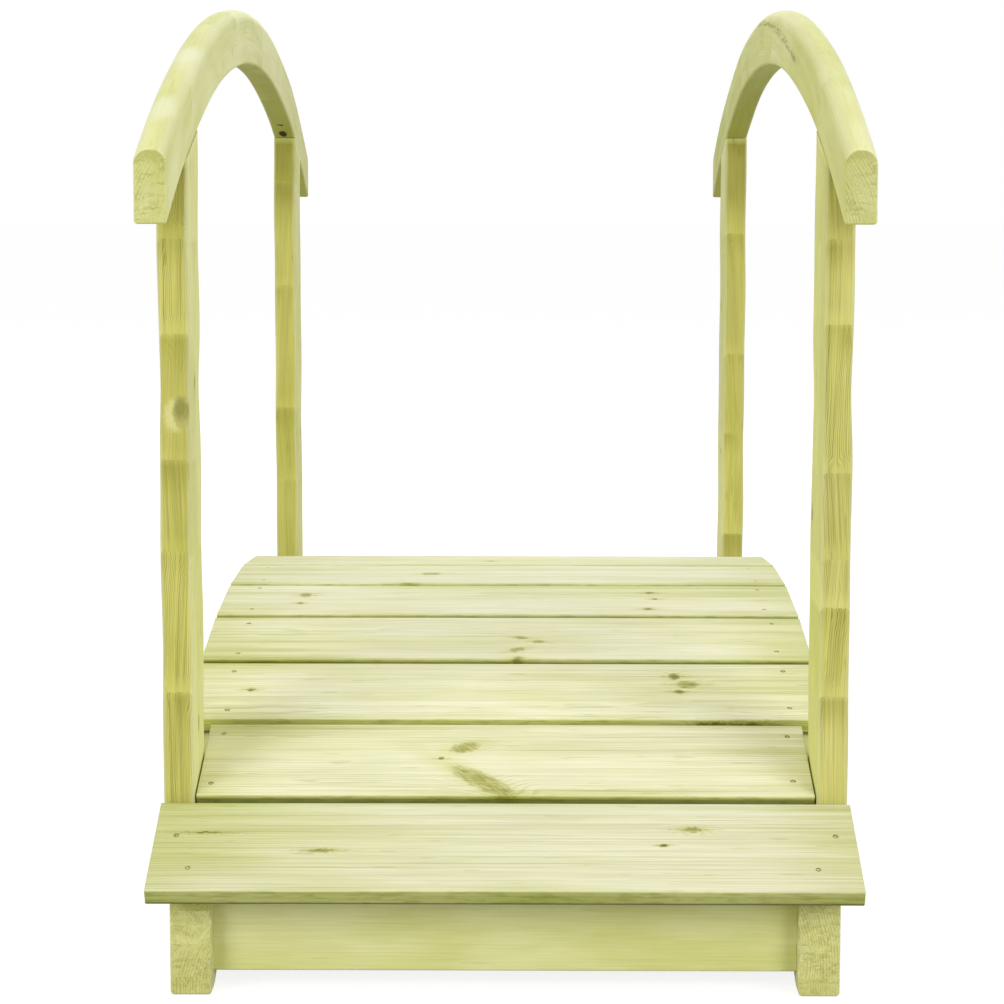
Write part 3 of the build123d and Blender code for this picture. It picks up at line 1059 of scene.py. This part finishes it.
def bent_bar(node, axis, top_radius, bottom_radius, radii, look, seed,
             marks=None, layers=None, inside=0.0):
    """Bar cut to an arc with upright ends, standing on the ground where it reaches it."""
    low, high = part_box(node)
    torn = random.Random(seed + TORN_SEED_STEP)
    wander = waver(seed, *BAR_WAVER)
    stations = eased_ends(spread(low.y, high.y, BAR_STEP), END_ARRIS)
    tears = {}
    rings, finishes = [], []
    for along, inset, sawn in stations:
        top = float(arc_height(axis, top_radius, along))
        bottom = max(low.z, float(arc_height(axis, bottom_radius, along)))
        section = outline((low.x, bottom), (high.x, top), radii, BAR_CUTS, inset)
        sideways = section[:, 0] + wander(along)
        inward = -section[:, 2] * math.copysign(1, low.x + high.x)
        if layers and inset > 0:
            end = along > 0
            if end not in tears:
                tears[end] = np.array([torn.uniform(-1, 1) * TORN_EDGE for _ in sideways])
            from_corner = np.minimum(section[:, 1] - bottom, top - section[:, 1]) - max(radii)
            sideways += (inward > INWARD) * tears[end] * np.clip(from_corner / TORN_EDGE_FADE, 0, 1)
        rings.append(np.column_stack((sideways, np.full(len(section), along), section[:, 1])))
        finish = finish_of(section, None, sawn)
        finish[:, 0] = np.clip(-section[:, 3], 0, 1) + inside * np.clip(inward, 0, 1)
        finishes.append(finish)
    rings = np.array(rings)
    grain = arc_grain(rings, axis, top_radius, (low.x + high.x) / 2)
    half = math.asin(high.y / top_radius) * top_radius
    joints = block_joints(random.Random(seed), -half * BAR_BLOCK_REACH, half, BAR_BLOCKS)
    joints[-1] = half * BAR_BLOCK_REACH
    material = pine(node, seed, look, marks, joints, layers, top_radius)
    place_timber(node, rings, grain, finishes, material)


def left_rail_marks(centre):
    """Holes, cracks and dents of the left handrail."""
    marks = {"holes": [], "cracks": [], "dents": []}
    for before, half_length, half_width in RAIL_HOLES:
        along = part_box("rear_left_post")[0].y - before
        where = (along_rail(along, rail_bottom_radius), 0.0, -RAIL_DEPTH)
        marks["holes"].append((where, (half_length, half_width, RAIL_HOLE_DEPTH), 0.0))
    for along, depth, half_height in RAIL_CRACKS:
        where = (along_rail(along), rail_high.x - abs(centre), -depth)
        marks["cracks"].append((where, (*RAIL_CRACK_WIDTHS, half_height), 0.0))
    ridge = Matrix.Translation((centre, 0, 0)) @ Matrix.Rotation(math.pi / 2, 4, "Y")
    for pixel in RAIL_DENTS_SEEN:
        where = (along_rail((ridge @ on_plane(pixel, ridge)).y), 0.0, 0.0)
        marks["dents"].append((where, RAIL_DENT_HALVES, 0.0))
    return marks


def handrail(side_name, side):
    """Handrail with the marks of the left one or the torn grain of the right one."""
    node = f"{side_name}_handrail"
    if side < 0:
        radii, look, inside = LEFT_RAIL_RADII, RAIL_LOOK, 0.0
        marks = left_rail_marks(middle(node).x)
    else:
        radii, look, inside = RIGHT_RAIL_RADII, RIGHT_RAIL_LOOK, RIGHT_RAIL_INSIDE
        marks = {"tears": [(start, end, -size(node).x / 2, width) for start, end, width in RAIL_TEARS]}
    bent_bar(node, rail_axis, rail_top_radius, rail_bottom_radius, radii, look,
             RAIL_SEED + side, marks, inside=inside)


def height_seen(row, plane):
    """Height at which a row of the photograph meets a plane across the bridge."""
    return (plane @ on_plane((IMAGE_SIZE / 2, row), plane)).z


def narrowing(node, plane):
    """How far a post's sides draw in, as a function of the height."""
    depth = WAIST_DEPTH if node in WAISTS_SEEN else 0.0
    centre = height_seen(WAISTS_SEEN.get(node, 0), plane)
    return lambda height: depth * np.exp(-((height - centre) / WAIST_REACH) ** 2)


def post(end_name, end, side_name, side):
    """Upright under the handrail, lapped over the stringer's outer face."""
    node = f"{end_name}_{side_name}_post"
    low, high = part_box(node)
    centre = middle(node)
    seed = POST_SEED + POST_SEED_STEP * end + side
    draw = random.Random(seed)
    sway = waver(seed, *POST_WAVER)
    lean = waver(seed + LEAN_SEED_STEP, *POST_WAVER)
    front = Matrix.Translation((0, low.y, 0)) @ Matrix.Rotation(math.pi / 2, 4, "X")
    waist = narrowing(node, front)
    inner, outer = sorted((abs(low.x), abs(high.x)))
    lap = stringer_high.x
    shoulder_middle = float(arc_height(deck_axis, stringer_top_radius, centre.y))
    steps = [(share, inset, lap) for share, inset in POST_FOOT]
    steps += [(share, 0.0, lap) for share in POST_LAP_SHARES]
    steps += [(share, 0.0, inner) for share in POST_SHARES]
    rings, finishes = [], []
    for share, inset, inside in steps:
        section = outline((inside, low.y), (outer, high.y), POST_RADII, POST_CUTS, inset)
        along = section[:, 1]
        shoulder = arc_height(deck_axis, stringer_top_radius, along)
        under_rail = arc_height(rail_axis, rail_bottom_radius, along) - POST_TOP_GAP
        if inside == lap:
            height = low.z + (shoulder - low.z) * share
        else:
            height = shoulder + (under_rail - shoulder) * (share - 1.0)
        free = np.clip((height - shoulder_middle) / POST_WAVER_START, 0, 1)
        outward = section[:, 0] + sway(height) * free - section[:, 2] * waist(height)
        rings.append(np.column_stack((side * outward, along + lean(height) * free, height)))
        finishes.append(finish_of(section, 1, share == 0.0))
    rings = np.array(rings)
    grain = np.stack((rings[..., 2], rings[..., 1] - centre.y, rings[..., 0] - centre.x), -1)

    joints = [height_seen(row, front) for row in POST_JOINTS_SEEN.get(node, ())]
    if not joints:
        joints = block_joints(draw, low.z + draw.uniform(*POST_FIRST_JOINT), high.z, POST_BLOCKS)
    joints = [low.z - POST_BLOCK_ENDS[0]] + sorted(joints) + [high.z + POST_BLOCK_ENDS[1]]
    knots = []
    marks = {"knots": knots, "shaded_crown": high.z}
    if node == "front_left_post":
        pixel, half_length, half_width = POST_KNOT_SEEN
        spot = front @ on_plane(pixel, front)
        where = (spot.z, spot.y - centre.y, spot.x - centre.x)
        marks["round_knot"] = (where, (half_length, POST_KNOT_DEPTH, half_width), 0.0)
    for _ in range(SMALL_POST_KNOTS):
        height = draw.uniform(low.z, high.z)
        spot = (height, draw.uniform(-SMALL_POST_KNOT_REACH, SMALL_POST_KNOT_REACH), 0.0)
        halves = (draw.uniform(*SMALL_POST_KNOT_LENGTHS), draw.uniform(*SMALL_POST_KNOT_WIDTHS), KNOT_DEPTH)
        knots.append((spot, halves, 0.0))
    look = POST_LOOK if end < 0 else REAR_POST_LOOK
    if node == "front_right_post":
        look = {**look, **FRONT_RIGHT_POST}
    place_timber(node, rings, grain, finishes, pine(node, seed, look, marks, joints))


def crossbar(end_name, end):
    """Plank on edge between the stringers."""
    node = f"{end_name}_crossbar"
    low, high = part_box(node)
    centre = middle(node)
    stations = eased_ends(spread(low.x, high.x, CROSSBAR_STEP), CROSSBAR_ARRIS)
    rings, finishes = [], []
    for along, inset, sawn in stations:
        section = outline((low.y, low.z), (high.y, high.z), CROSSBAR_RADII, POST_CUTS, inset)
        rings.append(np.column_stack((np.full(len(section), along), section[:, 0], section[:, 1])))
        finishes.append(finish_of(section, None, sawn))
    rings = np.array(rings)
    grain = np.stack((rings[..., 0], rings[..., 2] - centre.z, rings[..., 1] - centre.y), -1)
    material = pine(node, CROSSBAR_SEED + end, CROSSBAR_LOOK)
    place_timber(node, rings, grain, finishes, material)


def screw_heads(places):
    """All the screw heads as one piece, each a flat head with a star recess."""
    points, faces = [], []
    for place in places:
        start = len(points)
        for share, height, star in SCREW_RINGS:
            for step in range(SCREW_SIDES):
                turn = 2 * math.pi * step / SCREW_SIDES
                reach = SCREW_HEAD_RADIUS * share * (1 + star * math.cos(SCREW_LOBES * turn))
                points.append(place @ Vector((reach * math.cos(turn), reach * math.sin(turn), height)))
        points.append(place @ Vector((0, 0, SCREW_RINGS[-1][1])))
        faces += bands(start, len(SCREW_RINGS), SCREW_SIDES)
        inner = len(points) - 1 - SCREW_SIDES
        for step in range(SCREW_SIDES):
            faces.append((inner + step, inner + (step + 1) % SCREW_SIDES, len(points) - 1))
    mesh = bpy.data.meshes.new("deck_screws")
    mesh.from_pydata([tuple(point) for point in points], [], faces)
    material, graph, shader = new_material("screw_steel")
    where = graph.value("ShaderNodeTexCoord", output="Object")
    rust = graph.texture(where, *SCREW_RUST)
    shader.inputs["Metallic"].default_value = SCREW_METAL
    graph.feed(shader.inputs["Base Color"], graph.mix(rust, SCREW_PALE, SCREW_DARK))
    graph.feed(shader.inputs["Roughness"], graph.ease(rust, *SCREW_ROUGHNESS))
    place_piece("deck_screws", mesh, material)


screw_places = []
for number in range(1, BOARD_COUNT + 1):
    screw_places += deck_board(number)
for side_name, side in (("left", -1), ("right", 1)):
    bent_bar(f"{side_name}_stringer", deck_axis, stringer_top_radius, stringer_bottom_radius, STRINGER_RADII,
             BEAM_LOOK, STRINGER_SEED + side, layers=STRINGER_LAYERS)
    handrail(side_name, side)
    for end_name, end in (("front", -1), ("rear", 1)):
        post(end_name, end, side_name, side)
for end_name, end in (("front", -1), ("rear", 1)):
    crossbar(end_name, end)
screw_heads(screw_places)

# Floor, world and lamps
FLOOR_SIZE = 60.0
FLOOR_COLOUR = (0.30, 0.30, 0.30, 1.0)
FLOOR_GLOW = 0.84
SKY_LIGHT = 0.50
LAMP_TARGET = Vector((0, 0, 0.5))
# Each lamp: place, size and power in watts
LAMPS = {
    "overhead": (Vector((0, 0, 5.2)), 5.0, 50.0),
    "front_left": (Vector((-3.0, -3.6, 1.7)), 2.4, 88.0),
    "front_right": (Vector((3.0, -3.6, 1.7)), 2.4, 88.0),
    "rear": (Vector((0, 4.6, 2.6)), 3.0, 60.0),
}


def white_to_the_camera(graph, strength):
    """Emission strength that only sight lines, mirrored ones and those through glass see."""
    path = graph.add("ShaderNodeLightPath").outputs
    rays = [Value(graph, path[f"Is {kind} Ray"]) for kind in ("Camera", "Glossy", "Transmission")]
    seen = graph.math("MAXIMUM", graph.math("MAXIMUM", rays[0], rays[1]), rays[2])
    return seen * strength


def floor():
    """Pale floor that keeps the bridge's soft shadow."""
    half = FLOOR_SIZE / 2
    mesh = bpy.data.meshes.new("floor")
    corners = [(-half, -half, 0), (half, -half, 0), (half, half, 0), (-half, half, 0)]
    mesh.from_pydata(corners, [], [(0, 1, 2, 3)])
    material, graph, shader = new_material("floor")
    shader.inputs["Base Color"].default_value = FLOOR_COLOUR
    shader.inputs["Roughness"].default_value = 1.0
    shader.inputs["Specular IOR Level"].default_value = 0.0
    shader.inputs["Emission Color"].default_value = WHITE
    graph.feed(shader.inputs["Emission Strength"], white_to_the_camera(graph, FLOOR_GLOW))
    mesh.materials.append(material)
    plane = put("floor", mesh)


def sky():
    """Even white light from all round, white to the camera."""
    world = bpy.data.worlds.new("sky")
    bpy.context.scene.world = world
    world.use_nodes = True
    graph = Graph(world.node_tree)
    background = world.node_tree.nodes["Background"]
    background.inputs["Color"].default_value = WHITE
    graph.feed(background.inputs["Strength"], white_to_the_camera(graph, 1.0 - SKY_LIGHT) + SKY_LIGHT)


def soft_lamp(name, place, width, power):
    """Large square lamp turned to the bridge."""
    lamp = bpy.data.lights.new(name, "AREA")
    lamp.shape = "SQUARE"
    lamp.size = width
    lamp.energy = power
    holder = put(name, lamp)
    holder.location = place
    holder.rotation_euler = (LAMP_TARGET - place).to_track_quat("-Z", "Y").to_euler()


floor()
sky()
for lamp_name, (place, width, power) in LAMPS.items():
    soft_lamp(lamp_name, place, width, power)
bpy.context.scene.view_settings.view_transform = "Standard"
